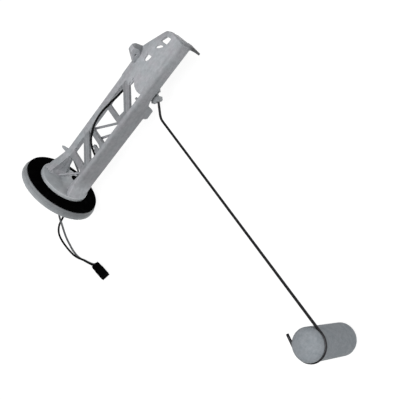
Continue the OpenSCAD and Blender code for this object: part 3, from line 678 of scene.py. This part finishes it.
# ------------------------------------------------------------------ strain relief and grommet
relief = [(-6.0, 0.0), (-6.0, 4.6), (-10.9, 4.6), (-11.1, 4.45)]
for k in range(3):
    x = -11.2 - 0.85 * k
    r = lerp(4.4, 3.3, k / 3)
    relief += [(x - 0.05, r - 0.5), (x - 0.3, r - 0.5), (x - 0.35, r - 0.15), (x - 0.75, r - 0.25)]
relief += [(-13.8, 2.75), (-13.9, 2.5), (-13.9, 0.0)]
strain = lathe("lead_strain_relief", relief, 64, (0, 0, -7))
ready(strain, "seal_rubber", "tower", "strain_relief")

grommet = lathe("inner_grommet", [(-4, 0.0), (-4, 4.0), (-3.8, 4.2), (2.9, 4.2), (3.05, 4.1), (3.1, 3.8), (3.3, 3.6), (3.4, 3.2), (3.4, 0.0)], 64, (0, 4.4, -14.8))
ready(grommet, "seal_rubber", "tower", "lead_grommet")

# ------------------------------------------------------------------ inner leads
SIGNAL = [[104.8, 7.6, -1.2], [99, 9.2, -1.4], [94, 9.4, -0.6], [90.6, 7.8, 2],
          [87, 6.8, 4.5], [82, 7.4, 4.8], [76, 8.4, 4.7], [69, 8.6, 4.6], [62, 7.4, 4.7],
          [56.5, 4.8, 4.9], [51.6, 1.4, 4.8], [47.9, -2.2, 4.2], [44.9, -7.3, 3], [42.2, -10.3, 0.4],
          [38, -10.9, -3.4], [30, -10.4, -7.4], [20, -6, -10.6], [11, 0, -12.4], [6, 3.4, -13], [3.4, 4.4, -13]]
GROUND = [[106.5, 11, -3.4], [103, 12, -5.4], [99.5, 13.8, -7.4], [96, 16, -8], [92, 17, -6.2],
          [88, 17, -3.2], [83, 16.9, -1.2], [76, 16.9, -0.6], [66, 16.9, -0.6], [56, 16.9, -0.6], [46, 16.9, -0.6],
          [36, 16.9, -0.7], [29, 16.9, -1.2], [24, 16.9, -2.8], [19.6, 16.8, -5.8], [15.6, 15.6, -9.6], [11.8, 12.8, -13.4],
          [8.6, 9, -16], [5.8, 5.8, -16.6], [3.4, 4.4, -16.6]]
inner_a = sweep("inner_lead_black", spline(SIGNAL, 1.0), 0.9, sides=18)
ready(inner_a, "lead_black", "tower", "signal_lead")
inner_b = sweep("inner_lead_grey", spline(GROUND, 1.0), 0.9, sides=18)
ready(inner_b, "lead_grey", "tower", "ground_lead")
sleeves = []
for i, (a, b) in enumerate((((104.8, 7.6, -1.2), (109.6, 11.2, 0.5)), ((106.5, 11, -3.4), (117.9, 12.6, -3)))):
    a, b = Vector(a), Vector(b)
    pts = [a.lerp(b, t / 16) for t in range(17)]
    rad = [0.97 + 0.22 * math.sin(math.pi * min(1, max(0, (t - 0.5) / 15))) ** 0.4 if 0 < t < 16 else 0.95 for t in range(17)]
    rad = [min(1.19, r) for r in rad]
    sleeves.append(sweep(f"shrunk_sleeve_{i + 1}", pts, rad, sides=20, cap=0.05))
for s in sleeves:
    paint(s, "sleeve_grey")
    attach(s, "tower")
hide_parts("crimp_sleeves")

# ------------------------------------------------------------------ rotor
bm = node_mesh("rotor")
rotor = moulded("wire_carrier", bm, 0.15, 2, keep=0.5)
ready(rotor, "rotor_plastic", "arm", "rotor")

# ------------------------------------------------------------------ arm wire and float
WR = 1.0
WZ, LZ = -13.5, 12.0
A = Vector((103.9, -29.2, WZ))
A0 = Vector((110.4, -18.7, WZ))
FC = Vector((104.5, -250.2, LZ))
LR = 11.2
IN, TURN = math.radians(3.3), math.radians(195)
adir = (A0 - A).normalized()
WIN = A0 + adir * 8
loop0 = FC + LR * Vector((math.cos(IN), math.sin(IN), 0))
loop1 = FC + LR * Vector((math.cos(IN - TURN), math.sin(IN - TURN), 0))
out = Vector((math.sin(IN - TURN), -math.cos(IN - TURN), 0))
run = (loop0 - A).normalized()


def quad(a, b, c, n):
    return [a * (1 - k / n) ** 2 + b * 2 * (k / n) * (1 - k / n) + c * (k / n) ** 2 for k in range(n + 1)]


line = [WIN + Vector((0, 0, 3.6))]
line += quad(WIN + Vector((0, 0, 1.8)), WIN, WIN - adir * 1.8, 8)
line += quad(A + adir * 4, A, A + run * 4, 12)
before = loop0 + Vector((-math.sin(IN), math.cos(IN), 0)) * 4 - Vector((0, 0, 0.49))
far = (before - (A + run * 4))
line += [A + run * 4 + far * (k / 40) for k in range(1, 41)]
line += [FC + LR * Vector((math.cos(IN - TURN * k / 60), math.sin(IN - TURN * k / 60), 0)) for k in range(0, 61)]
line += [loop1 + out * 12.8 * (k / 6) for k in range(1, 7)]
clean = [line[0]]
for p in line[1:]:
    if (p - clean[-1]).length > 0.05:
        clean.append(p)
wire = sweep("arm_wire", clean, WR, sides=20)
ready(wire, "wire_steel", "arm", "float_arm")

F0, F1 = -38.0, 20.5
prof = [(F0, 0.0)]
dome = 7.0
for k in range(1, 13):
    a = math.radians(90 * k / 12)
    prof.append((F0 + dome * (1 - math.cos(a)), 11.3 * math.sin(a)))
for z in np.linspace(F0 + dome + 1.5, LZ - 1.9, 24):
    prof.append((float(z), 11.3))
prof += [(LZ - 1.4, 11.29), (LZ - 1.15, 11.25)]
for k in range(-5, 6):
    a = math.radians(17.5 * k)
    prof.append((LZ + 1.04 * math.sin(a), 11.2 - 1.04 * math.cos(a)))
top = [(F1 - dome * (1 - math.cos(math.radians(90 * k / 12))), 11.3 * math.sin(math.radians(90 * k / 12))) for k in range(12, 0, -1)]
prof += [p for p in top if p[0] > LZ + 1.15]
prof.append((F1, 0.0))
flt = lathe("foam_float", prof, 128, (104.5, -250.2, 0), axis="Z")
for v in flt.data.vertices:
    n = noise.noise(v.co * 170.0) * 0.05 + noise.noise(v.co * 600.0) * 0.025
    d = Vector((v.co.x - 0.1045, v.co.y + 0.2502, 0))
    if d.length > 1e-5:
        d.normalize()
        v.co -= d * (0.05 + n) * MM * 0.6
flt.data.update()
ready(flt, "float_plastic", "arm", "float")

# ------------------------------------------------------------------ small metal pieces keep their shape, with broken edges
for name in ("pivot_pin", "thrust_washer", "retaining_clip", "card_terminals", "card_rivets", "wiper_spring",
             "resistor_card", "connector_contacts", "connector_lock", "connector_seal", "wiper_stakes", "wiper_contacts"):
    ob = NODES[name]
    w = ob.modifiers.new("weld", "WELD")
    w.merge_threshold = 2e-6
    b = ob.modifiers.new("edges", "BEVEL")
    b.width = 0.00008
    b.segments = 2
    b.limit_method = "ANGLE"
    b.angle_limit = math.radians(40)
    n = ob.modifiers.new("normals", "WEIGHTED_NORMAL")

# ------------------------------------------------------------------ floor, light
floor_mat = Graph("studio_floor")
fc = floor_mat.ramp(floor_mat.noise(60.0, 2), [(0.3, 0.20), (0.7, 0.21)])
floor_mat.finish(fc, Roughness=0.9, Specular_IOR_Level=0.0, Emission_Color=(1, 1, 1, 1), Emission_Strength=0.9)
TILT = 0.0123    # the floor falls this much towards -Y, from the rim of the flange to the float's low end
floor = mesh_object("studio_floor", [(x, y, FLOOR_Z - 0.0001 + TILT * y) for x, y in ((-3, -3.4), (3.4, -3.4), (3.4, 3), (-3, 3))], [(0, 1, 2, 3)], smooth=False)
floor.data.materials.append(floor_mat.m)


def area(name, loc, target, size, power, color=(1, 1, 1)):
    d = bpy.data.lights.new(name, "AREA")
    d.shape = "DISK"
    d.size = size
    d.energy = power
    d.color = color
    ob = link(bpy.data.objects.new(name, d))
    ob.location = loc
    ob.rotation_euler = (Vector(target) - Vector(loc)).to_track_quat("-Z", "Y").to_euler()
    return ob


area("key_light", (0.35, -0.5, 1.5), (0.09, -0.1, 0), 1.3, 23.0)
world = bpy.data.worlds.new("studio_world")
world.use_nodes = True
world.node_tree.nodes["Background"].inputs["Color"].default_value = (1, 1, 1, 1)
world.node_tree.nodes["Background"].inputs["Strength"].default_value = 0.12
scene.world = world
scene.view_settings.view_transform = "Standard"
scene.view_settings.look = "None"
scene.view_settings.exposure = 0.0
scene.view_settings.gamma = 1.0
